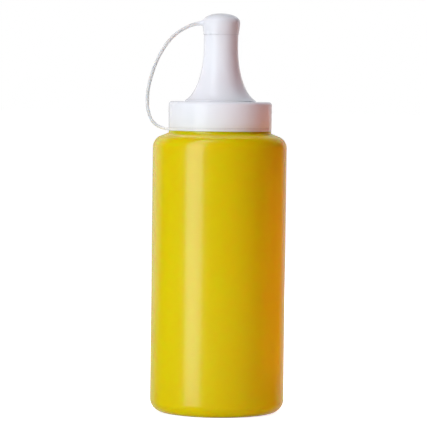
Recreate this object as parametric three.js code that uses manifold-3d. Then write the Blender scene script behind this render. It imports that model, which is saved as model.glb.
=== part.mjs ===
// A squeeze bottle for mustard: a soft yellow bottle, a white screw cap drawn up into a nozzle,
// and a tip cap that stays on the bottle by its moulded strap. Millimetres, +Z up.
// The origin is the middle of the base, the strap loops out on the -X side and the front faces -Y.
import * as THREE from "three";
import { mergeVertices } from "three/addons/utils/BufferGeometryUtils.js";
import Module from "manifold-3d";

// Driving dimensions
const GAP = 0.3; // hidden clearance between separate mouldings
const SEAT_GAP = 0.15; // the fine line that shows where one moulding sits on another
const ROUND_SIDES = 60; // facets around the bottle and the screw cap
const TIP_SIDES = 40; // facets around the tip cap

const BOTTLE_RADIUS = 30.5;
const BASE_CORNER = 5.5; // round between base and side wall
const SHOULDER_CORNER = 5.5; // round between side wall and shoulder
const SHOULDER_CROWN_Z = 126; // where that round would be level
const SHOULDER_SLOPE = 23; // degrees, the shoulder's straight rise to the bead
const BEAD_RADIUS = 23.2; // yellow bead that the strap ring sits on
const BEAD_TOP_Z = 127.95;
const NECK_RADIUS = 20;
const NECK_TOP_Z = 138;

const RING_THICKNESS = 1.2; // strap ring held between bead and screw cap
const RING_OUTER = 23.2;

const CAP_RADIUS = 23.5;
const CAP_TOP_Z = 141.4;
const CAP_TOP_ROUND = 1.6;
const CAP_RIM_CHAMFER = 0.4;
const FLARE_FOOT_STEP = 0.5; // small upright edge where the flare stands on the cap
const FLARE_TOP_Z = 166;
const FLARE_HEIGHT = 24.8; // half axes of the flare's quarter ellipse
const FLARE_SPREAD = 10.8;
const NOZZLE_RADIUS = 7.8;
const NOZZLE_TOP_Z = 171.8;
const SPIGOT_RADIUS = 6.9; // plug-fit end of the nozzle inside the tip cap
const SPIGOT_TOP_Z = 176.8;

const TIP_RIM_Z = NOZZLE_TOP_Z + SEAT_GAP;
const TIP_RIM_RADIUS = 8.05;
const TIP_RADIUS = 8.55; // widest, where the side turns into the dome
const TIP_WAIST_SHARE = 0.4; // height up the side, and share of the widening, of its one bend
const TIP_WAIST_WIDENING = 0.7;
const TIP_SIDE_TOP_Z = 177.2;
const TIP_TOP_Z = 181.4;
const TIP_BORE_RADIUS = SPIGOT_RADIUS + GAP;
const DOME_EXPONENT = 2.15; // 2 is an ellipse, more is squarer

const STRAP_THICKNESS = 1.5; // seen from the front
const STRAP_WIDTH = 2.8; // front to back
const STRAP_ROUND = 0.5; // corners of the strap's section
const STRAP_STEPS = 40;
const TAB_WIDTH = 4.6; // tongue of the ring that the strap grows from
const TAB_REACH = 25.3;
const TAB_CORNER = 1;
const STRAP_END_REACH = TAB_REACH - 1; // the strap ends inside the tongue

// Materials
const mustardPolyethylene = new THREE.MeshStandardMaterial({ color: 0xe2b70c, roughness: 0.32, metalness: 0 });
const whitePolypropylene = new THREE.MeshStandardMaterial({ color: 0xf1f1f4, roughness: 0.28, metalness: 0 });
const whiteSoftPolyethylene = new THREE.MeshStandardMaterial({ color: 0xf0f0f2, roughness: 0.38, metalness: 0 });

const wasm = await Module();
wasm.setup();

// Points [radius, height] of an arc around [r, z], angles in degrees from the +radius direction.
function arc(r, z, radius, from, to, steps) {
  return Array.from({ length: steps + 1 }, (_, i) => {
    const angle = THREE.MathUtils.degToRad(from + ((to - from) * i) / steps);
    return [r + radius * Math.cos(angle), z + radius * Math.sin(angle)];
  });
}

// A solid of revolution about +Z from an outline of [radius, height] points.
function turned(outline, sides) {
  const points = outline.map(([r, z]) => new THREE.Vector2(Math.max(r, 0), z));
  return new THREE.LatheGeometry(points, sides).rotateX(Math.PI / 2);
}

// Joins and cuts work on closed solids with shared vertices.
function solidOf(geometry) {
  const bare = geometry.index ? geometry.toNonIndexed() : geometry.clone();
  bare.deleteAttribute("normal");
  bare.deleteAttribute("uv");
  const merged = mergeVertices(bare, 1e-4);
  return new wasm.Manifold(
    new wasm.Mesh({
      numProp: 3,
      vertProperties: merged.attributes.position.array,
      triVerts: new Uint32Array(merged.index.array),
    }),
  );
}

function geometryOf(solid) {
  const mesh = solid.getMesh();
  const geometry = new THREE.BufferGeometry()
    .setAttribute("position", new THREE.BufferAttribute(mesh.vertProperties, mesh.numProp))
    .setIndex(new THREE.BufferAttribute(mesh.triVerts, 1));
  geometry.computeVertexNormals();
  return geometry;
}

function part(name, geometry, material) {
  const mesh = new THREE.Mesh(geometry, material);
  mesh.name = name;
  return mesh;
}

// Bottle: one blow moulding, shut and full, with a plain neck under the screw cap.
function bottle() {
  const shoulder = arc(
    BOTTLE_RADIUS - SHOULDER_CORNER,
    SHOULDER_CROWN_Z - SHOULDER_CORNER,
    SHOULDER_CORNER,
    0,
    90 - SHOULDER_SLOPE,
    6,
  );
  const [slopeRadius, slopeZ] = shoulder.at(-1);
  const rise = (slopeRadius - BEAD_RADIUS) * Math.tan(THREE.MathUtils.degToRad(SHOULDER_SLOPE));
  return turned(
    [
      [0, 0],
      ...arc(BOTTLE_RADIUS - BASE_CORNER, BASE_CORNER, BASE_CORNER, -90, 0, 8),
      ...shoulder,
      [BEAD_RADIUS, slopeZ + rise],
      [BEAD_RADIUS, BEAD_TOP_Z],
      [NECK_RADIUS, BEAD_TOP_Z],
      [NECK_RADIUS, NECK_TOP_Z],
      [0, NECK_TOP_Z],
    ],
    ROUND_SIDES,
  );
}

// The flare's radius at a height: a quarter ellipse that runs out tangent to the nozzle.
function flareRadius(z) {
  const drop = (FLARE_TOP_Z - z) / FLARE_HEIGHT;
  return NOZZLE_RADIUS + FLARE_SPREAD * (1 - Math.sqrt(1 - drop * drop));
}

// Screw cap: skirt, flat top, flare and nozzle in one moulding, open below round the neck.
function nozzleCap() {
  const rimZ = BEAD_TOP_Z + SEAT_GAP + RING_THICKNESS + SEAT_GAP;
  const footZ = CAP_TOP_Z + FLARE_FOOT_STEP;
  const flareSteps = 14;
  // Heights close up towards the foot, where the flare turns fastest.
  const flare = Array.from({ length: flareSteps + 1 }, (_, i) => {
    const z = footZ + (FLARE_TOP_Z - footZ) * (1 - Math.cos((i / flareSteps) * (Math.PI / 2)));
    return [flareRadius(z), z];
  });
  return turned(
    [
      [0, NECK_TOP_Z + GAP],
      [NECK_RADIUS + GAP, NECK_TOP_Z + GAP],
      [NECK_RADIUS + GAP, rimZ],
      [CAP_RADIUS - CAP_RIM_CHAMFER, rimZ],
      [CAP_RADIUS, rimZ + CAP_RIM_CHAMFER],
      ...arc(CAP_RADIUS - CAP_TOP_ROUND, CAP_TOP_Z - CAP_TOP_ROUND, CAP_TOP_ROUND, 0, 90, 4),
      [flareRadius(footZ), CAP_TOP_Z],
      ...flare,
      [NOZZLE_RADIUS, NOZZLE_TOP_Z],
      [SPIGOT_RADIUS, NOZZLE_TOP_Z],
      [SPIGOT_RADIUS, SPIGOT_TOP_Z],
      [0, SPIGOT_TOP_Z],
    ],
    ROUND_SIDES,
  );
}

// Tip cap shell: a side that widens upwards, then a low dome, with a bore for the spigot.
function tipShell() {
  const domeHeight = TIP_TOP_Z - TIP_SIDE_TOP_Z;
  const domeSteps = 10;
  const dome = Array.from({ length: domeSteps + 1 }, (_, i) => {
    const angle = (i / domeSteps) * (Math.PI / 2);
    const power = 2 / DOME_EXPONENT;
    return [
      TIP_RADIUS * Math.cos(angle) ** power,
      TIP_SIDE_TOP_Z + domeHeight * Math.sin(angle) ** power,
    ];
  });
  return turned(
    [
      [0, SPIGOT_TOP_Z + GAP],
      [TIP_BORE_RADIUS, SPIGOT_TOP_Z + GAP],
      [TIP_BORE_RADIUS, TIP_RIM_Z],
      [TIP_RIM_RADIUS, TIP_RIM_Z],
      [
        THREE.MathUtils.lerp(TIP_RIM_RADIUS, TIP_RADIUS, TIP_WAIST_WIDENING),
        THREE.MathUtils.lerp(TIP_RIM_Z, TIP_SIDE_TOP_Z, TIP_WAIST_SHARE),
      ],
      ...dome,
    ],
    TIP_SIDES,
  );
}

// A rounded rectangle about the origin, width along x and height along y.
function roundedRectangle(width, height, radius) {
  const shape = new THREE.Shape();
  const x = width / 2 - radius;
  const y = height / 2 - radius;
  shape.absarc(x, y, radius, 0, Math.PI / 2);
  shape.absarc(-x, y, radius, Math.PI / 2, Math.PI);
  shape.absarc(-x, -y, radius, Math.PI, 1.5 * Math.PI);
  shape.absarc(x, -y, radius, 1.5 * Math.PI, 2 * Math.PI);
  return shape;
}

// Strap: a flat band that bows out from the tip cap's side and comes down to the ring.
function strap(ringMiddleZ) {
  const route = [
    [-7.9, 177],
    [-13.2, 176],
    [-21.5, 171],
    [-27.1, 163.5],
    [-31.6, 152.4],
    [-33.2, 141.4],
    [-31.9, 134.2],
    [-29.2, 130.6],
    [-STRAP_END_REACH, ringMiddleZ],
  ].map(([x, z]) => new THREE.Vector3(x, 0, z));
  return new THREE.ExtrudeGeometry(roundedRectangle(STRAP_WIDTH, STRAP_THICKNESS, STRAP_ROUND), {
    steps: STRAP_STEPS,
    curveSegments: 2,
    extrudePath: new THREE.CatmullRomCurve3(route, false, "centripetal"),
  });
}

// Ring: a thin washer round the neck with a tongue for the strap.
function ring(bottomZ) {
  const inner = NECK_RADIUS + GAP;
  const topZ = bottomZ + RING_THICKNESS;
  const washer = turned(
    [
      [inner, bottomZ],
      [RING_OUTER, bottomZ],
      [RING_OUTER, topZ],
      [inner, topZ],
      [inner, bottomZ],
    ],
    ROUND_SIDES,
  );
  const middle = (inner + RING_OUTER) / 2;
  const tongue = new THREE.ExtrudeGeometry(roundedRectangle(TAB_REACH - middle, TAB_WIDTH, TAB_CORNER), {
    depth: RING_THICKNESS,
    bevelEnabled: false,
    curveSegments: 3,
  }).translate(-(TAB_REACH + middle) / 2, 0, bottomZ);
  return solidOf(washer).add(solidOf(tongue));
}

// Tip cap, strap and ring are one soft moulding.
function tipCap() {
  const ringZ = BEAD_TOP_Z + SEAT_GAP;
  const joined = solidOf(tipShell())
    .add(solidOf(strap(ringZ + RING_THICKNESS / 2)))
    .add(ring(ringZ));
  return geometryOf(joined);
}

const squeezeBottle = new THREE.Group();
squeezeBottle.name = "mustard_squeeze_bottle";
squeezeBottle.add(
  part("bottle", bottle(), mustardPolyethylene),
  part("nozzle_cap", nozzleCap(), whitePolypropylene),
  part("tip_cap", tipCap(), whiteSoftPolyethylene),
);

export default squeezeBottle;
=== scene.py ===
# A mustard squeeze bottle: the finished surfaces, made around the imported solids. Metres, +Z up.
import math
from contextlib import contextmanager

import bmesh
import bpy
from bpy.props import FloatProperty, FloatVectorProperty, PointerProperty
from mathutils import Matrix, Vector


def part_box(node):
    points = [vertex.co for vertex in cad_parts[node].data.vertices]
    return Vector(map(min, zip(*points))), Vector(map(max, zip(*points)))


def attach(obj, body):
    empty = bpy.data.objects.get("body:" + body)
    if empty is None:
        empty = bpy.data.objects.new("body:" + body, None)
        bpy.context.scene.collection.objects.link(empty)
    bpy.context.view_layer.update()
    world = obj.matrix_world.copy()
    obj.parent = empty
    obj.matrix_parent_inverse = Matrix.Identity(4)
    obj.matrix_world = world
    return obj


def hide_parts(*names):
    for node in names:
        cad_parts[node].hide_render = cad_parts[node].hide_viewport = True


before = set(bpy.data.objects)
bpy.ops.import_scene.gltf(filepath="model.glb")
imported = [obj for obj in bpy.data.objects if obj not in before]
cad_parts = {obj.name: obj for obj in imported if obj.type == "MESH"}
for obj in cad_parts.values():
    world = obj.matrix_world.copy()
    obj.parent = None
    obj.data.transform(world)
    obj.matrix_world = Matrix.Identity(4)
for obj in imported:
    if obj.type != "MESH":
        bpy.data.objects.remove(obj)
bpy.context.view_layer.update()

bl_info = {
    "name": "Mustard Squeeze Bottle",
    "version": (1, 0, 0),
    "blender": (4, 5, 0),
    "location": "View3D > Sidebar > Squeeze Bottle",
    "description": "Models a yellow squeeze bottle with a nozzle cap and a strapped tip cap",
    "category": "Add Mesh",
}

BOTTLE_LOW, BOTTLE_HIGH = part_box("bottle")
CAP_LOW, CAP_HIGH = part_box("nozzle_cap")
_, TIP_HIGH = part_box("tip_cap")

MM = 0.001
AROUND = 128  # facets round the bottle, the screw cap and the ring
AROUND_TIP = 96  # facets round the tip cap
TINY = 1e-6  # points closer than this count as one place
OFF_LEVEL = 1e-5  # how far a point may be off the level that it counts to


def linear(hex_code):
    """Scene-linear colour with full alpha from an sRGB hex value."""
    channels = [int(hex_code[i:i + 2], 16) / 255 for i in (1, 3, 5)]
    return (*(c / 12.92 if c <= 0.04045 else ((c + 0.055) / 1.055) ** 2.4 for c in channels), 1.0)


def length(name, description, default):
    """A size in metres that a user may change."""
    return FloatProperty(
        name=name, description=description, default=default, subtype="DISTANCE", unit="LENGTH", precision=4
    )


def colour(name, description, default):
    """A colour that a user may change, from its sRGB hex value."""
    return FloatVectorProperty(
        name=name, description=description, default=linear(default), size=4, subtype="COLOR", min=0, max=1
    )


# Sizes and colours that a user would change

class BottleSizes(bpy.types.PropertyGroup):
    radius: length("Radius", "Outside of the side wall, mould seam included", BOTTLE_HIGH.x)
    base_corner: length("Base corner", "Round between base and side wall", 5.5 * MM)
    foot_width: length("Foot width", "Flat ring that the bottle stands on", 3.0 * MM)
    push_up: length("Push-up", "Height of the dished middle of the base", 1.5 * MM)
    shoulder_corner: length("Shoulder corner", "Round between side wall and shoulder", 5.5 * MM)
    shoulder_crown: length("Shoulder crown", "Height where that round would be level", 126.0 * MM)
    shoulder_slope: FloatProperty(
        name="Shoulder slope", description="The shoulder's straight rise to the bead",
        default=math.radians(23), subtype="ANGLE", unit="ROTATION",
    )
    bead_radius: length("Bead radius", "Outside of the bead under the strap ring", 23.35 * MM)
    bead_top: length("Bead top", "Upper side of the bead", 128.08 * MM)
    neck_radius: length("Neck radius", "Outside of the neck under the screw cap", 20.0 * MM)
    neck_top: length("Neck top", "Height of the neck's top", BOTTLE_HIGH.z)
    seam_height: length("Seam height", "How far the mould seam stands out", 0.1 * MM)


class ScrewCapSizes(bpy.types.PropertyGroup):
    radius: length("Radius", "Outside of the skirt", CAP_HIGH.x)
    rim: length("Rim height", "Lower edge of the skirt", CAP_LOW.z)
    rim_round: length("Rim round", "Round on the skirt's lower edge", 0.15 * MM)
    top: length("Top height", "Flat top of the skirt", 141.4 * MM)
    top_round: length("Top round", "Round between skirt and flat top", 1.6 * MM)
    foot_step: length("Foot step", "Upright edge where the flare stands on the top", 0.5 * MM)
    flare_top: length("Flare top", "Height where the flare has become the nozzle", 166.0 * MM)
    flare_height: length("Flare height", "Upright half axis of the flare's quarter ellipse", 24.8 * MM)
    flare_spread: length("Flare spread", "Level half axis of the flare's quarter ellipse", 10.8 * MM)
    nozzle_radius: length("Nozzle radius", "Outside of the nozzle", 7.8 * MM)
    nozzle_top: length("Nozzle top", "Height of the nozzle's shoulder under the tip cap", 171.8 * MM)
    spigot_radius: length("Spigot radius", "End of the nozzle inside the tip cap", 6.9 * MM)
    spigot_top: length("Spigot top", "Height of the nozzle's end", CAP_HIGH.z)
    recess_radius: length("Recess radius", "Inside of the skirt round the neck", 20.3 * MM)
    recess_top: length("Recess top", "Ceiling of the skirt's inside", 138.3 * MM)


class TipCapSizes(bpy.types.PropertyGroup):
    rim: length("Rim height", "Lower edge of the tip cap", 171.85 * MM)
    rim_radius: length("Rim radius", "Outside at the lower edge", 8.05 * MM)
    rim_round: length("Rim round", "Round on the lower edge", 0.08 * MM)
    lip: length("Lip", "How far the lower edge stands out", 0.06 * MM)
    lip_height: length("Lip height", "Upright part of the lip", 0.35 * MM)
    radius: length("Radius", "Widest, where the side turns into the dome", 8.55 * MM)
    side_low: length("Side low", "Height where the side starts above the lip", 172.85 * MM)
    side_top: length("Side top", "Height where the dome starts", 177.2 * MM)
    top: length("Top height", "Crown of the dome", TIP_HIGH.z)
    bore_radius: length("Bore radius", "Inside of the tip cap round the spigot", 7.2 * MM)
    bore_top: length("Bore top", "Ceiling of the tip cap's inside", 177.1 * MM)
    strap_thickness: length("Strap thickness", "Strap as the front shows it", 1.5 * MM)
    strap_width: length("Strap width", "Strap from front to back", 2.8 * MM)
    ring_low: length("Ring height", "Lower side of the ring between bead and screw cap", 128.1 * MM)
    ring_thickness: length("Ring thickness", "Ring between bead and screw cap", 1.33 * MM)
    ring_radius: length("Ring radius", "Outside of the ring", 23.4 * MM)
    ring_inside: length("Ring inside", "Inside of the ring round the neck", 20.3 * MM)
    tongue_reach: length("Tongue reach", "How far the ring's tongue goes out to the strap", 25.3 * MM)
    tongue_width: length("Tongue width", "Tongue from front to back", 4.6 * MM)


class BottleColours(bpy.types.PropertyGroup):
    yellow: colour("Yellow", "Pigment of the bottle", "#E6D007")
    yellow_deep: colour("Deep yellow", "Pigment where the wall is thicker", "#E2C906")
    cap_white: colour("Cap white", "Pigment of the screw cap", "#F4F4F8")
    tip_white: colour("Tip white", "Pigment of the tip cap", "#F3F3F7")
    # The strap's greyer pigment is painted shade: the strap is the tip cap's own white plastic.
    strap_painted_shade: colour("Strap white", "The thin strap, which light goes through", "#DADADA")
    floor: colour("Floor", "Pale studio floor", "#F6F6F6")
    card: colour("Card", "Red card that warms the right side", "#A03020")
    card_top: colour("Card top", "The card's grey upper part, beside the nozzle", "#303436")


# Modelling helpers

@contextmanager
def editing(piece):
    """Edit mode on one piece alone, with nothing in it selected."""
    bpy.ops.object.select_all(action="DESELECT")
    piece.select_set(True)
    bpy.context.view_layer.objects.active = piece
    bpy.ops.object.mode_set(mode="EDIT")
    bpy.ops.mesh.select_all(action="DESELECT")
    yield
    bpy.ops.object.mode_set(mode="OBJECT")


def pick(piece, kind, test):
    """Selects only the vertices, edges or faces of the piece in edit mode that pass a test."""
    bpy.ops.mesh.select_mode(type=kind)
    bpy.ops.mesh.select_all(action="DESELECT")
    mesh = bmesh.from_edit_mesh(piece.data)
    chosen = [e for e in {"VERT": mesh.verts, "EDGE": mesh.edges, "FACE": mesh.faces}[kind] if test(e)]
    if not chosen:
        raise RuntimeError(f"{piece.name}: nothing to select as {kind}")
    for element in chosen:
        element.select_set(True)
    mesh.select_flush_mode()
    bmesh.update_edit_mesh(piece.data)


def on_level(height):
    """A test for edges and faces that lie flat at a height."""
    return lambda element: all(abs(v.co.z - height) < OFF_LEVEL for v in element.verts)


def grow(rings):
    """Extrudes the selected round face through rings of (radius, height), starting at its own ring."""
    for (radius, height), (next_radius, next_height) in zip(rings, rings[1:]):
        bpy.ops.mesh.extrude_region_move(
            TRANSFORM_OT_translate={"value": (0, 0, next_height - height)}
        )
        factor = next_radius / radius
        bpy.ops.transform.resize(value=(factor, factor, 1), center_override=(0, 0, next_height))


def close_at(height, last_height):
    """Draws the selected round face together to one point on the axis."""
    bpy.ops.mesh.extrude_region_move(TRANSFORM_OT_translate={"value": (0, 0, height - last_height)})
    bpy.ops.mesh.merge(type="CENTER")


def add_cylinder(name, sides, radius, low, high):
    """An upright cylinder on the axis, the start of each round piece."""
    bpy.ops.object.select_all(action="DESELECT")
    bpy.ops.mesh.primitive_cylinder_add(
        vertices=sides, radius=radius, depth=high - low, location=(0, 0, (low + high) / 2)
    )
    piece = bpy.context.object
    piece.name = piece.data.name = name
    bpy.ops.object.transform_apply(location=True)
    return piece


def finish_piece(piece, material, smooth_angle=30):
    """Smooth shading up to an angle in degrees, the material, and the body that the piece rides on."""
    bpy.ops.object.select_all(action="DESELECT")
    piece.select_set(True)
    bpy.context.view_layer.objects.active = piece
    bpy.ops.object.shade_smooth_by_angle(angle=math.radians(smooth_angle))
    piece.data.materials.clear()
    piece.data.materials.append(material)
    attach(piece, "root")


def join_solid(piece, other):
    """Unites a second closed shape with the piece and removes it."""
    bpy.ops.object.select_all(action="DESELECT")
    piece.select_set(True)
    bpy.context.view_layer.objects.active = piece
    union = piece.modifiers.new("Union", "BOOLEAN")
    union.operation = "UNION"
    union.solver = "EXACT"
    union.object = other
    bpy.ops.object.modifier_apply(modifier=union.name)
    bpy.data.objects.remove(other)


# Materials

# Sockets of the Mix node in its colour mode, which share their names with the other modes
MIX_FACTOR, MIX_COLOUR_A, MIX_COLOUR_B, MIX_COLOUR_RESULT = 0, 6, 7, 2
# Sockets of the Mix Shader node
SHADER_FACTOR, SHADER_A, SHADER_B = 0, 1, 2


def add_node(tree, kind, inputs=None, **settings):
    """Adds a node with its settings; an input given as a socket is linked, any other is set."""
    made = tree.nodes.new(kind)
    for name, value in settings.items():
        setattr(made, name, value)
    for name, value in (inputs or {}).items():
        if isinstance(value, bpy.types.NodeSocket):
            tree.links.new(value, made.inputs[name])
        else:
            made.inputs[name].default_value = value
    return made


def new_material(name):
    """An empty material and its node tree."""
    material = bpy.data.materials.new(name)
    material.use_nodes = True
    material.node_tree.nodes.clear()
    return material, material.node_tree


def blow_moulded_polyethylene(colours):
    """Bottle: pigmented soft polyethylene. It gives the eye a soft gloss, a faint unevenness along
    the wall that was blown against the mould, and a little light let in under the surface."""
    material, tree = new_material("Blow moulded polyethylene, mustard yellow")
    place = add_node(tree, "ShaderNodeTexCoord").outputs["Object"]

    # The wall's thickness drifts over some 45 mm, and the pigment looks deeper where it is thicker.
    wall = add_node(
        tree, "ShaderNodeTexNoise",
        {"Vector": place, "Scale": 1 / (45 * MM), "Detail": 2.0, "Roughness": 0.5},
    ).outputs["Fac"]
    pigment = add_node(
        tree, "ShaderNodeMix",
        {MIX_FACTOR: wall, MIX_COLOUR_A: colours.yellow, MIX_COLOUR_B: colours.yellow_deep},
        data_type="RGBA",
    ).outputs[MIX_COLOUR_RESULT]

    # The hot tube was drawn out before it was blown, which leaves upright streaks about 5 mm apart.
    drawn = add_node(tree, "ShaderNodeMapping", {"Vector": place, "Scale": (1, 1, 0.06)}).outputs["Vector"]
    streaks = add_node(
        tree, "ShaderNodeTexNoise", {"Vector": drawn, "Scale": 1 / (5 * MM), "Detail": 3.0}
    ).outputs["Fac"]

    # The soft wall swells a little over some 22 mm, and has a grain of 0.9 mm from the blasted mould.
    swell = add_node(
        tree, "ShaderNodeTexNoise", {"Vector": place, "Scale": 1 / (22 * MM), "Detail": 1.0}
    ).outputs["Fac"]
    grain = add_node(
        tree, "ShaderNodeTexNoise", {"Vector": place, "Scale": 1 / (0.9 * MM), "Detail": 2.0}
    ).outputs["Fac"]
    bump = add_node(tree, "ShaderNodeBump", {"Height": swell, "Strength": 1.0, "Distance": 0.06 * MM})
    bump = add_node(
        tree, "ShaderNodeBump",
        {"Height": streaks, "Strength": 1.0, "Distance": 0.012 * MM, "Normal": bump.outputs["Normal"]},
    )
    bump = add_node(
        tree, "ShaderNodeBump",
        {"Height": grain, "Strength": 1.0, "Distance": 0.006 * MM, "Normal": bump.outputs["Normal"]},
    )
    rough = add_node(
        tree, "ShaderNodeMapRange", {"Value": streaks, "To Min": 0.19, "To Max": 0.25}
    ).outputs["Result"]
    shader = add_node(
        tree, "ShaderNodeBsdfPrincipled",
        {
            "Base Color": pigment,
            "Roughness": rough,
            "IOR": 1.51,
            "Specular IOR Level": 0.6,
            "Subsurface Weight": 0.8,
            "Subsurface Radius": (1.0, 0.3, 0.03),
            "Subsurface Scale": 4 * MM,
            "Normal": bump.outputs["Normal"],
        },
    )
    add_node(tree, "ShaderNodeOutputMaterial", {"Surface": shader.outputs["BSDF"]})
    return material


def white_plastic(name, pigment, roughness, grain_size):
    """The caps: white plastic moulded in polished steel. It gives the eye an even white with a clear
    gloss, which is a little uneven over some 12 mm and has a very fine grain."""
    material, tree = new_material(name)
    polish_drift = 0.02
    grain_depth = 0.001 * MM
    place = add_node(tree, "ShaderNodeTexCoord").outputs["Object"]
    polish = add_node(
        tree, "ShaderNodeTexNoise", {"Vector": place, "Scale": 1 / (12 * MM), "Detail": 3.0}
    ).outputs["Fac"]
    grain = add_node(
        tree, "ShaderNodeTexNoise", {"Vector": place, "Scale": 1 / grain_size, "Detail": 2.0}
    ).outputs["Fac"]
    rough = add_node(
        tree, "ShaderNodeMapRange",
        {"Value": polish, "To Min": roughness - polish_drift, "To Max": roughness + polish_drift},
    ).outputs["Result"]
    bump = add_node(tree, "ShaderNodeBump", {"Height": grain, "Strength": 1.0, "Distance": grain_depth})
    shader = add_node(
        tree, "ShaderNodeBsdfPrincipled",
        {
            "Base Color": pigment,
            "Roughness": rough,
            "IOR": 1.49,
            "Specular IOR Level": 0.35,
            "Subsurface Weight": 0.1,
            "Subsurface Radius": (1.0, 0.9, 0.8),
            "Subsurface Scale": 1.5 * MM,
            "Normal": bump.outputs["Normal"],
        },
    )
    add_node(tree, "ShaderNodeOutputMaterial", {"Surface": shader.outputs["BSDF"]})
    return material


def strap_light_through_and_painted_shade(material, colours):
    """The thin strap, out beyond the caps, lets light through, so it looks evenly lit; its greyer pigment
    there is painted shade.
    """
    tree = material.node_tree
    shader = next(node for node in tree.nodes if node.type == "BSDF_PRINCIPLED")
    place = add_node(tree, "ShaderNodeTexCoord").outputs["Object"]
    where = add_node(tree, "ShaderNodeSeparateXYZ", {"Vector": place}).outputs
    cap_ends, strap_is_thin = -9 * MM, -12 * MM
    ring_ends, strap_is_clear = 129.6 * MM, 130.6 * MM
    beyond_cap = add_node(
        tree, "ShaderNodeMapRange", {"Value": where["X"], "From Min": cap_ends, "From Max": strap_is_thin}
    ).outputs["Result"]
    above_ring = add_node(
        tree, "ShaderNodeMapRange", {"Value": where["Z"], "From Min": ring_ends, "From Max": strap_is_clear}
    ).outputs["Result"]
    strap = add_node(
        tree, "ShaderNodeMath", {0: beyond_cap, 1: above_ring}, operation="MULTIPLY"
    ).outputs["Value"]
    # The strap gets a greyer pigment than the tip cap: painted shade on the same plastic.
    pigment = add_node(
        tree, "ShaderNodeMix",
        {MIX_FACTOR: strap, MIX_COLOUR_A: colours.tip_white, MIX_COLOUR_B: colours.strap_painted_shade},
        data_type="RGBA",
    ).outputs[MIX_COLOUR_RESULT]
    let_through = add_node(
        tree, "ShaderNodeMapRange", {"Value": strap, "To Min": 0.1, "To Max": 1.0}
    ).outputs["Result"]
    tree.links.new(pigment, shader.inputs["Base Color"])
    tree.links.new(let_through, shader.inputs["Subsurface Weight"])


def pale_floor(colours):
    """Studio floor: matt white acrylic lit from below, which the camera sees run out into the backdrop."""
    material, tree = new_material("Matt white acrylic, lit from below")
    place = add_node(tree, "ShaderNodeTexCoord").outputs["Object"]
    away = add_node(tree, "ShaderNodeVectorMath", {"Vector": place}, operation="LENGTH").outputs["Value"]
    near, far = 0.1, 0.5  # metres from the bottle between which the light under the floor comes up
    glow = add_node(
        tree, "ShaderNodeMapRange",
        {"Value": away, "From Min": near, "From Max": far, "To Min": 0.8, "To Max": 1.0},
    ).outputs["Result"]
    seen = add_node(tree, "ShaderNodeLightPath").outputs["Is Camera Ray"]
    lit = add_node(
        tree, "ShaderNodeMath", {0: glow, 1: seen}, operation="MULTIPLY"
    ).outputs["Value"]
    shader = add_node(
        tree, "ShaderNodeBsdfPrincipled",
        {
            "Base Color": colours.floor,
            "Roughness": 0.8,
            "Specular IOR Level": 0.0,
            "Emission Color": (1, 1, 1, 1),
            "Emission Strength": lit,
        },
    )
    add_node(tree, "ShaderNodeOutputMaterial", {"Surface": shader.outputs["BSDF"]})
    return material


def warm_card(colours):
    """Card at the right: red paper with light of its own up to the bottle's shoulder, grey at the top."""
    material, tree = new_material("Red and grey paper, lit")
    glow_fades, glow_ends = 106 * MM, 124 * MM
    red_ends, grey_starts = 132 * MM, 142 * MM
    place = add_node(tree, "ShaderNodeTexCoord").outputs["Object"]
    height = add_node(tree, "ShaderNodeSeparateXYZ", {"Vector": place}).outputs["Z"]
    glow = add_node(
        tree, "ShaderNodeMapRange",
        {"Value": height, "From Min": glow_fades, "From Max": glow_ends, "To Min": 0.56, "To Max": 0.0},
    ).outputs["Result"]
    beside_nozzle = add_node(
        tree, "ShaderNodeMapRange", {"Value": height, "From Min": red_ends, "From Max": grey_starts}
    ).outputs["Result"]
    paper = add_node(
        tree, "ShaderNodeMix",
        {MIX_FACTOR: beside_nozzle, MIX_COLOUR_A: colours.card, MIX_COLOUR_B: colours.card_top},
        data_type="RGBA",
    ).outputs[MIX_COLOUR_RESULT]
    shader = add_node(
        tree, "ShaderNodeBsdfPrincipled",
        {
            "Base Color": paper,
            "Roughness": 0.9,
            "Specular IOR Level": 0.0,
            "Emission Color": (1.0, 0.66, 0.04, 1),
            "Emission Strength": glow,
        },
    )
    add_node(tree, "ShaderNodeOutputMaterial", {"Surface": shader.outputs["BSDF"]})
    return material


# Bottle

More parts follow.
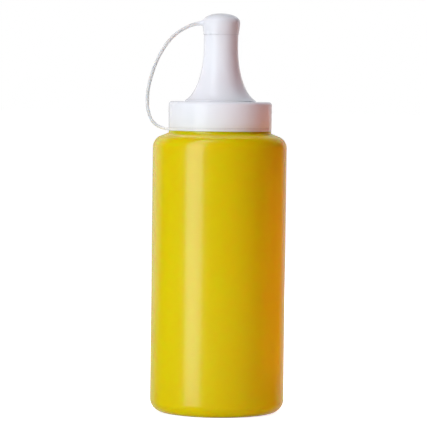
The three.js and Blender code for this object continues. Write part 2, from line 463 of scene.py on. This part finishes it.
class SQUEEZE_OT_bottle(bpy.types.Operator):
    """Adds the bottle: round base corner, straight side, shoulder, bead, neck, push-up and mould seam"""

    bl_idname = "squeeze_bottle.bottle"
    bl_label = "Bottle"

    def execute(self, context):
        sizes = context.scene.bottle_sizes
        side = sizes.radius - sizes.seam_height
        wall_top = sizes.shoulder_crown - sizes.shoulder_corner
        piece = add_cylinder("bottle_body", AROUND, side, BOTTLE_LOW.z, wall_top)
        with editing(piece):
            pick(piece, "EDGE", on_level(BOTTLE_LOW.z))
            bpy.ops.mesh.bevel(offset=sizes.base_corner, segments=14, affect="EDGES")
            self.add_shoulder_and_neck(piece, side, wall_top, sizes)
            self.dish_base(piece, side, sizes)
            self.raise_seam(piece, sizes)
        finish_piece(piece, blow_moulded_polyethylene(context.scene.bottle_colours))
        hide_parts("bottle")
        return {"FINISHED"}

    def add_shoulder_and_neck(self, piece, side, wall_top, sizes):
        """A round corner, a straight rise, a small hollow at the bead's foot, the bead and the neck."""
        corner = sizes.shoulder_corner
        slope = sizes.shoulder_slope
        corner_steps = 10
        rings = []
        for step in range(corner_steps + 1):
            turn = step / corner_steps * (math.pi / 2 - slope)
            rings.append((side - corner + corner * math.cos(turn), wall_top + corner * math.sin(turn)))
        slope_start, slope_height = rings[-1]
        hollow = 0.4 * MM
        hollow_steps = 5
        foot_radius = sizes.bead_radius + hollow
        foot_height = slope_height + (slope_start - foot_radius) * math.tan(slope)
        for step in range(hollow_steps + 1):
            turn = step / hollow_steps * math.pi / 2
            rings.append((
                foot_radius - hollow * math.sin(turn),
                foot_height + hollow * (1 - math.cos(turn)),
            ))
        bead_round = 0.05 * MM
        rings += [
            (sizes.bead_radius, sizes.bead_top - bead_round),
            (sizes.bead_radius - bead_round, sizes.bead_top),
            (sizes.neck_radius, sizes.bead_top),
            (sizes.neck_radius, sizes.neck_top),
        ]
        pick(piece, "FACE", on_level(wall_top))
        grow(rings)

    def dish_base(self, piece, side, sizes):
        """The foot ring stays flat, and the middle of the base rises in a shallow dish."""
        pick(piece, "FACE", on_level(BOTTLE_LOW.z))
        foot_outside = side - sizes.base_corner
        foot_inside = foot_outside - sizes.foot_width
        dish_steps = 7
        rings = [(foot_outside, BOTTLE_LOW.z), (foot_inside, BOTTLE_LOW.z)]
        for step in range(1, dish_steps):
            share = step / dish_steps
            rise = sizes.push_up * math.sin(share * math.pi / 2)
            rings.append((foot_inside * (1 - share), BOTTLE_LOW.z + rise))
        grow(rings)
        close_at(BOTTLE_LOW.z + sizes.push_up, rings[-1][1])

    def raise_seam(self, piece, sizes):
        """The mould's two halves leave a fine ridge up both sides, in line with the strap."""
        seam_width = 0.45 * MM
        bead_gap = 0.4 * MM  # the ridge stops short of the bead and of the foot
        foot_gap = 0.5 * MM

        def on_seam(v):
            beyond_bead = abs(v.co.x) > sizes.bead_radius + bead_gap
            return abs(v.co.y) < TINY and beyond_bead and v.co.z > foot_gap

        pick(piece, "EDGE", lambda e: all(on_seam(v) for v in e.verts))
        bpy.ops.mesh.bevel(offset=seam_width / 2, segments=2, affect="EDGES")
        pick(piece, "VERT", on_seam)
        bpy.ops.transform.shrink_fatten(value=sizes.seam_height)


# Screw cap

class SQUEEZE_OT_screw_cap(bpy.types.Operator):
    """Adds the screw cap: skirt, flat top, flare and nozzle in one moulding"""

    bl_idname = "squeeze_bottle.screw_cap"
    bl_label = "Screw cap"

    def execute(self, context):
        sizes = context.scene.screw_cap_sizes
        piece = add_cylinder("screw_cap", AROUND, sizes.radius, sizes.rim, sizes.top)
        with editing(piece):
            pick(piece, "EDGE", on_level(sizes.top))
            bpy.ops.mesh.bevel(offset=sizes.top_round, segments=8, affect="EDGES")
            pick(piece, "EDGE", on_level(sizes.rim))
            bpy.ops.mesh.bevel(offset=sizes.rim_round, segments=3, affect="EDGES")
            self.hollow_skirt(piece, sizes)
            self.draw_nozzle(piece, sizes)
        white = white_plastic(
            "Injection moulded polypropylene, white", context.scene.bottle_colours.cap_white,
            roughness=0.05, grain_size=0.8 * MM,
        )
        finish_piece(piece, white)
        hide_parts("nozzle_cap")
        return {"FINISHED"}

    def hollow_skirt(self, piece, sizes):
        """The inside of the skirt, a plain recess round the neck."""
        pick(piece, "FACE", on_level(sizes.rim))
        grow([
            (sizes.radius - sizes.rim_round, sizes.rim),
            (sizes.recess_radius, sizes.rim),
            (sizes.recess_radius, sizes.recess_top),
        ])

    def draw_nozzle(self, piece, sizes):
        """The flat top, the flare that sweeps up from it, the nozzle, and its end inside the tip cap."""
        def flare_radius(height):
            drop = (sizes.flare_top - height) / sizes.flare_height
            return sizes.nozzle_radius + sizes.flare_spread * (1 - math.sqrt(1 - drop * drop))

        foot = sizes.top + sizes.foot_step
        foot_radius = flare_radius(foot)
        edge = 0.12 * MM  # fine rounds on the foot's upright edge and the nozzle's shoulder
        flare_steps = 36
        rings = [
            (sizes.radius - sizes.top_round, sizes.top),
            (foot_radius + edge, sizes.top),
            (foot_radius, sizes.top + edge),
            (foot_radius, foot - edge),
        ]
        for step in range(flare_steps + 1):
            turn = step / flare_steps * math.pi / 2
            height = foot + (sizes.flare_top - foot) * (1 - math.cos(turn))
            rings.append((flare_radius(height), height))
        rings += [
            (sizes.nozzle_radius, sizes.nozzle_top - edge),
            (sizes.nozzle_radius - edge, sizes.nozzle_top),
            (sizes.spigot_radius, sizes.nozzle_top),
            (sizes.spigot_radius, sizes.spigot_top),
        ]
        pick(piece, "FACE", on_level(sizes.top))
        grow(rings)


# Tip cap with its strap and ring

# Middle of the strap from the tip cap to the ring: out from the axis, height, swelling of the section
STRAP_ROUTE = (
    (-7.9, 177.0, 1.9),
    (-9.6, 176.8, 1.35),
    (-11.6, 176.45, 1.05),
    (-14.4, 175.55, 1.0),
    (-21.5, 171.0, 1.0),
    (-27.1, 163.5, 1.0),
    (-31.6, 152.4, 1.0),
    (-33.19, 141.4, 1.0),
    (-31.9, 134.2, 1.0),
    (-29.2, 130.6, 1.0),
    (-24.3, 128.7, 0.78),
)


class SQUEEZE_OT_tip_cap(bpy.types.Operator):
    """Adds the tip cap, the strap that bows out from it and the ring that it ends in, as one moulding"""

    bl_idname = "squeeze_bottle.tip_cap"
    bl_label = "Tip cap and strap"

    def execute(self, context):
        sizes = context.scene.tip_cap_sizes
        piece = self.dome(sizes)
        join_solid(piece, self.strap(sizes))
        join_solid(piece, self.ring(sizes))
        colours = context.scene.bottle_colours
        white = white_plastic(
            "Injection moulded soft polyethylene, white", colours.tip_white,
            roughness=0.07, grain_size=0.7 * MM,
        )
        strap_light_through_and_painted_shade(white, colours)
        finish_piece(piece, white)
        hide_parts("tip_cap")
        return {"FINISHED"}

    def dome(self, sizes):
        """A side that widens upwards and a low dome, hollow round the spigot."""
        fullness = 2.15  # of the dome: 2 is a plain ellipse, and more has a rounder shoulder
        side_steps = 6
        dome_steps = 22
        lip_radius = sizes.rim_radius + sizes.lip
        lip_top = sizes.rim + sizes.lip_height
        piece = add_cylinder("tip_cap_and_strap", AROUND_TIP, lip_radius, sizes.rim, lip_top)
        with editing(piece):
            pick(piece, "EDGE", on_level(sizes.rim))
            bpy.ops.mesh.bevel(offset=sizes.rim_round, segments=3, affect="EDGES")
            pick(piece, "FACE", on_level(sizes.rim))
            grow([
                (lip_radius - sizes.rim_round, sizes.rim),
                (sizes.bore_radius, sizes.rim),
                (sizes.bore_radius, sizes.bore_top),
            ])
            pick(piece, "FACE", on_level(lip_top))
            spread = sizes.radius - sizes.rim_radius
            rings = [(lip_radius, lip_top), (sizes.rim_radius, sizes.side_low)]
            for step in range(1, side_steps):
                share = step / side_steps
                rings.append((
                    sizes.rim_radius + spread * math.sin(share * math.pi / 2),
                    sizes.side_low + (sizes.side_top - sizes.side_low) * share,
                ))
            for step in range(dome_steps):
                turn = step / dome_steps * math.pi / 2
                rings.append((
                    sizes.radius * math.cos(turn) ** (2 / fullness),
                    sizes.side_top + (sizes.top - sizes.side_top) * math.sin(turn) ** (2 / fullness),
                ))
            grow(rings)
            close_at(sizes.top, rings[-1][1])
        return piece

    def strap(self, sizes):
        """A flat band with round edges, swollen where it grows out of the tip cap."""
        bpy.ops.object.select_all(action="DESELECT")
        bpy.ops.curve.primitive_bezier_curve_add(location=(0, 0, 0), rotation=(math.pi / 2, 0, 0))
        piece = bpy.context.object
        curve = piece.data
        points = curve.splines[0].bezier_points
        points.add(len(STRAP_ROUTE) - len(points))
        for point, (out, height, swelling) in zip(points, STRAP_ROUTE):
            point.co = (out * MM, height * MM, 0)
            point.radius = swelling
            point.handle_left_type = point.handle_right_type = "AUTO"
        curve.twist_mode = "Z_UP"
        curve.resolution_u = 14
        curve.bevel_depth = sizes.strap_thickness / 2
        curve.bevel_resolution = 4
        curve.extrude = (sizes.strap_width - sizes.strap_thickness) / 2
        curve.use_fill_caps = True
        bpy.ops.object.convert(target="MESH")
        piece = bpy.context.object
        bpy.ops.object.transform_apply(rotation=True)
        with editing(piece):
            bpy.ops.mesh.select_all(action="SELECT")
            bpy.ops.mesh.remove_doubles(threshold=TINY)
            bpy.ops.mesh.normals_make_consistent(inside=False)
        return piece

    def ring(self, sizes):
        """A thin washer round the neck with a tongue out to the strap."""
        low = sizes.ring_low
        high = low + sizes.ring_thickness
        piece = add_cylinder("ring", AROUND, sizes.ring_radius, low, high)
        with editing(piece):
            for level in (low, high):
                pick(piece, "FACE", on_level(level))
                grow([(sizes.ring_radius, level), (sizes.ring_inside, level)])
            for level in (low, high):
                # The round face in the middle is the only one on the level with more than four corners.
                pick(piece, "FACE", lambda f: on_level(level)(f) and len(f.verts) > 4)
                bpy.ops.mesh.delete(type="ONLY_FACE")
            inside = sizes.ring_inside + TINY
            pick(piece, "EDGE", lambda e: e.is_boundary and all(v.co.xy.length < inside for v in e.verts))
            bpy.ops.mesh.bridge_edge_loops()
            self.pull_tongue(piece, sizes)
        return piece

    def pull_tongue(self, piece, sizes):
        """The ring's side that faces the strap is drawn out to meet it."""
        facet_sag = 0.1 * MM  # the middle of a side face lies at most this far inside the ring's radius

        def faces_strap(face):
            middle = face.calc_center_median()
            outside = middle.xy.length > sizes.ring_radius - facet_sag
            return outside and middle.x < 0 and abs(middle.y) < sizes.tongue_width / 2

        pick(piece, "FACE", faces_strap)
        bpy.ops.mesh.extrude_region_move(
            TRANSFORM_OT_translate={"value": (sizes.ring_radius - sizes.tongue_reach, 0, 0)}
        )


# Stage

# Name, azimuth in degrees, then height, distance, width and own height in metres, radiance, mirrored
SOFTBOXES = (
    ("key_softbox", -43, 0.28, 0.85, 0.46, 0.95, (2.5, 2.6, 2.68), True),
    ("top_softbox", -30, 1.0, 0.5, 0.5, 0.5, (4.9, 4.85, 5.15), False),
    ("high_softbox", -47, 0.85, 0.45, 0.3, 0.6, (2.2, 2.2, 2.3), True),
    ("low_softbox", -20, 0.01, 0.16, 0.16, 0.03, (2.3, 3.1, 3.1), False),
    ("back_right_softbox", 145, 0.3, 0.9, 0.5, 0.6, (6.8, 7.2, 7.8), False),
    ("back_left_softbox", -140, 0.3, 0.9, 0.5, 0.6, (2.0, 1.7, 1.7), False),
    ("left_rim_softbox", -135, 0.3, 0.9, 0.6, 0.7, (0.35, 0.33, 0.33), True),
    ("red_fill", 58, 0.075, 0.16, 0.05, 0.09, (2.5, 0.0, 0.0), False),
)


class SQUEEZE_OT_stage(bpy.types.Operator):
    """Adds the pale floor, the card, the backdrop, the soft lights and the camera at the photo's angle"""

    bl_idname = "squeeze_bottle.stage"
    bl_label = "Stage"

    def execute(self, context):
        scene = context.scene
        scene.view_settings.view_transform = "Standard"
        self.add_floor(scene)
        self.add_card(scene)
        self.light_world(scene)
        for light in SOFTBOXES:
            self.add_softbox(*light)
        self.add_camera(scene)
        return {"FINISHED"}

    def add_floor(self, scene):
        """A pale floor, wide enough to run out into the backdrop."""
        floor_width = 40
        bpy.ops.object.select_all(action="DESELECT")
        bpy.ops.mesh.primitive_plane_add(size=floor_width, location=(0, 0, 0))
        floor = bpy.context.object
        floor.name = floor.data.name = "floor"
        floor.data.materials.append(pale_floor(scene.bottle_colours))
        # The key softbox reaches below the floor, so the floor neither hides it nor shows in the gloss.
        floor.visible_glossy = floor.visible_shadow = False

    def add_card(self, scene):
        """A card close on the right, out of the camera's sight, that shades and warms that side."""
        low, high = 5 * MM, 157 * MM
        front, back = -32 * MM, 75 * MM
        beside = 96 * MM
        middle = (beside, (front + back) / 2, (low + high) / 2)
        bpy.ops.object.select_all(action="DESELECT")
        bpy.ops.mesh.primitive_plane_add(size=1, location=middle, rotation=(0, -math.pi / 2, 0))
        card = bpy.context.object
        card.name = card.data.name = "warm_card"
        card.scale = (high - low, back - front, 1)
        card.visible_camera = False
        bpy.ops.object.transform_apply(location=True, rotation=True, scale=True)
        card.data.materials.append(warm_card(scene.bottle_colours))

    def light_world(self, scene):
        """Dim room light with a white backdrop behind, which the camera sees as plain white."""
        world = bpy.data.worlds.new("Studio")
        scene.world = world
        world.use_nodes = True
        tree = world.node_tree
        tree.nodes.clear()
        glow_starts, glow_is_full = 0.45, 0.95  # how far a direction points to the back, out of 1
        backdrop_glow = 0.5
        direction = add_node(tree, "ShaderNodeTexCoord").outputs["Generated"]
        behind = add_node(tree, "ShaderNodeSeparateXYZ", {"Vector": direction}).outputs["Y"]
        strength = add_node(
            tree, "ShaderNodeMapRange",
            {"Value": behind, "From Min": glow_starts, "From Max": glow_is_full, "To Max": backdrop_glow},
            interpolation_type="SMOOTHSTEP",
        ).outputs["Result"]
        room = add_node(tree, "ShaderNodeBackground", {"Color": (1, 1, 1, 1), "Strength": strength})
        white = add_node(tree, "ShaderNodeBackground", {"Color": (1, 1, 1, 1), "Strength": 1.0})
        seen = add_node(tree, "ShaderNodeLightPath").outputs["Is Camera Ray"]
        mixed = add_node(
            tree, "ShaderNodeMixShader",
            {SHADER_FACTOR: seen, SHADER_A: room.outputs[0], SHADER_B: white.outputs[0]},
        ).outputs[0]
        add_node(tree, "ShaderNodeOutputWorld", {"Surface": mixed})

    def add_softbox(self, name, azimuth, height, distance, width, tall, radiance, mirrored):
        """An area light aimed at the bottle; azimuth is round from the camera's side, to the right.
        Radiance is red, green and blue; a light that isn't mirrored leaves no highlight in the gloss."""
        turn = math.radians(azimuth)
        place = Vector((math.sin(turn) * distance, -math.cos(turn) * distance, height))
        middle_of_bottle = Vector((0, 0, 100 * MM))
        facing = (middle_of_bottle - place).to_track_quat("-Z", "Y")
        bpy.ops.object.light_add(type="AREA", location=place, rotation=facing.to_euler())
        light = bpy.context.object
        light.name = name
        light.visible_camera = False
        light.visible_glossy = mirrored
        light.data.shape = "RECTANGLE"
        light.data.size = width
        light.data.size_y = tall
        light.data.energy = width * tall * math.pi  # a radiance of 1, which the colour then scales
        light.data.color = radiance

    def add_camera(self, scene):
        """A long lens almost level with the screw cap, rolled a little as the photo is."""
        distance = 1.15
        elevation = math.radians(2.67)
        roll = math.radians(0.72)
        seen_width = 0.1947  # width of the view at the bottle's axis
        aim = Vector((-2.48 * MM, 0, 90.4 * MM))
        back = Vector((0, -math.cos(elevation), math.sin(elevation)))
        turn = (-back).to_track_quat("-Z", "Y").to_matrix() @ Matrix.Rotation(roll, 3, "Z")
        bpy.ops.object.camera_add(location=aim + back * distance, rotation=turn.to_euler())
        camera = bpy.context.object
        camera.data.lens = camera.data.sensor_width * distance / seen_width
        camera.data.clip_start = 0.01
        camera.data.clip_end = 100
        scene.camera = camera


class SQUEEZE_PT_panel(bpy.types.Panel):
    """Buttons and sizes of the squeeze bottle"""

    bl_label = "Squeeze Bottle"
    bl_idname = "SQUEEZE_PT_panel"
    bl_space_type = "VIEW_3D"
    bl_region_type = "UI"
    bl_category = "Squeeze Bottle"

    def draw(self, context):
        for operator in OPERATORS:
            self.layout.operator(operator.bl_idname)
        for group in PROPERTIES:
            column = self.layout.column(align=True)
            values = getattr(context.scene, group)
            for name in values.bl_rna.properties.keys():
                if name not in ("rna_type", "name"):
                    column.prop(values, name)


OPERATORS = (SQUEEZE_OT_bottle, SQUEEZE_OT_screw_cap, SQUEEZE_OT_tip_cap, SQUEEZE_OT_stage)
PROPERTIES = {
    "bottle_sizes": BottleSizes,
    "screw_cap_sizes": ScrewCapSizes,
    "tip_cap_sizes": TipCapSizes,
    "bottle_colours": BottleColours,
}


def register():
    for kind in (*PROPERTIES.values(), *OPERATORS, SQUEEZE_PT_panel):
        bpy.utils.register_class(kind)
    for name, kind in PROPERTIES.items():
        setattr(bpy.types.Scene, name, PointerProperty(type=kind))


def unregister():
    for name in PROPERTIES:
        delattr(bpy.types.Scene, name)
    for kind in (SQUEEZE_PT_panel, *OPERATORS, *PROPERTIES.values()):
        bpy.utils.unregister_class(kind)


def main():
    register()
    bpy.ops.squeeze_bottle.bottle()
    bpy.ops.squeeze_bottle.screw_cap()
    bpy.ops.squeeze_bottle.tip_cap()
    bpy.ops.squeeze_bottle.stage()


if __name__ == "__main__":
    main()
